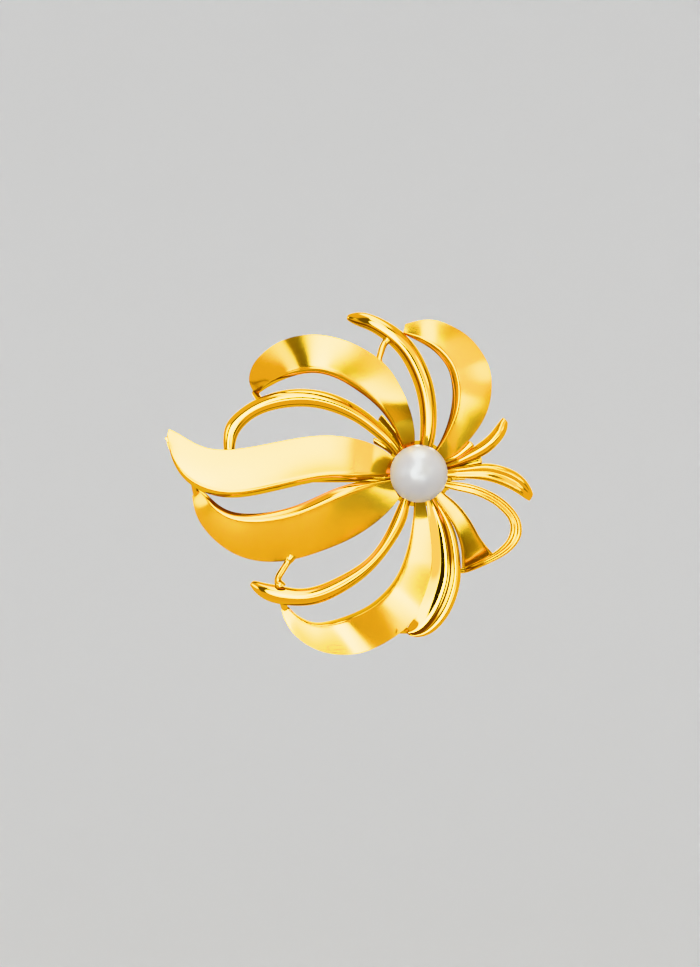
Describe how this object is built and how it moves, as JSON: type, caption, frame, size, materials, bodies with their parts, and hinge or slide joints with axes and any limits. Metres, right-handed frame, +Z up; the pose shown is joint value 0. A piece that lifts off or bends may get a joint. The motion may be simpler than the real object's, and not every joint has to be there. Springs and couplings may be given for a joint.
{
  "type": "brooch",
  "caption": "Gold spray brooch: curved satin leaves and polished rays fanned round a pearl, with a hinged pin and a turning safety catch behind.",
  "frame": {"origin": "on the axis of the pin's stem, half way along its straight length", "axes": "+Z up as worn, +X along the pin towards its point (to the right seen from the front), -Y out of the brooch's face towards the viewer"},
  "size_m": [0.0447, 0.0132, 0.0419],
  "materials": {
    "satin_gold": "satin, brushed lengthwise",
    "polished_gold": "polished",
    "fitting_gold": "polished",
    "pin_metal": "drawn",
    "pearl": "nacre"
  },
  "bodies": {
    "root": {"petal_left_upper": "satin_gold", "petal_left_lower": "satin_gold", "petal_upper_left": "satin_gold", "petal_top_right": "satin_gold", "petal_bottom": "satin_gold", "ribbon_lower_right": "satin_gold", "petal_bottom_right": "polished_gold", "loop_right": "polished_gold", "ray_upper_left": "polished_gold", "ray_top": "polished_gold", "ray_upper_right": "polished_gold", "ray_right": "polished_gold", "ray_lower_left": "polished_gold", "strip_upper_right": "polished_gold", "hub_boss": "polished_gold", "pearl_cup": "polished_gold", "strut_top": "fitting_gold", "strut_lower_left": "fitting_gold", "tie_left": "fitting_gold", "tie_upper_left": "fitting_gold", "tie_lower_left": "fitting_gold", "tie_bottom": "fitting_gold", "web_upper_left": "fitting_gold", "web_middle_left": "fitting_gold", "web_right": "fitting_gold", "hinge_base": "fitting_gold", "hinge_ear_upper": "fitting_gold", "hinge_ear_lower": "fitting_gold", "hinge_rivet": "fitting_gold", "catch_post": "fitting_gold", "catch_housing": "fitting_gold", "pearl_peg": "fitting_gold", "pearl": "pearl"},
    "pin": {"pin_eye": "pin_metal", "pin_stem": "pin_metal"},
    "safety_sleeve": {"catch_sleeve": "pin_metal", "catch_lever": "pin_metal"}
  },
  "joints": [
    {"name": "pin_swing", "type": "hinge", "parent": "root", "child": "pin", "pos_m": [-0.01244, 0, 0], "axis": [0, 0, 1], "range_deg": [0, 100]},
    {"name": "catch_turn", "type": "hinge", "parent": "root", "child": "safety_sleeve", "pos_m": [0.01306, 0, 0], "axis": [1, 0, 0], "range_deg": [0, 100]}
  ]
}
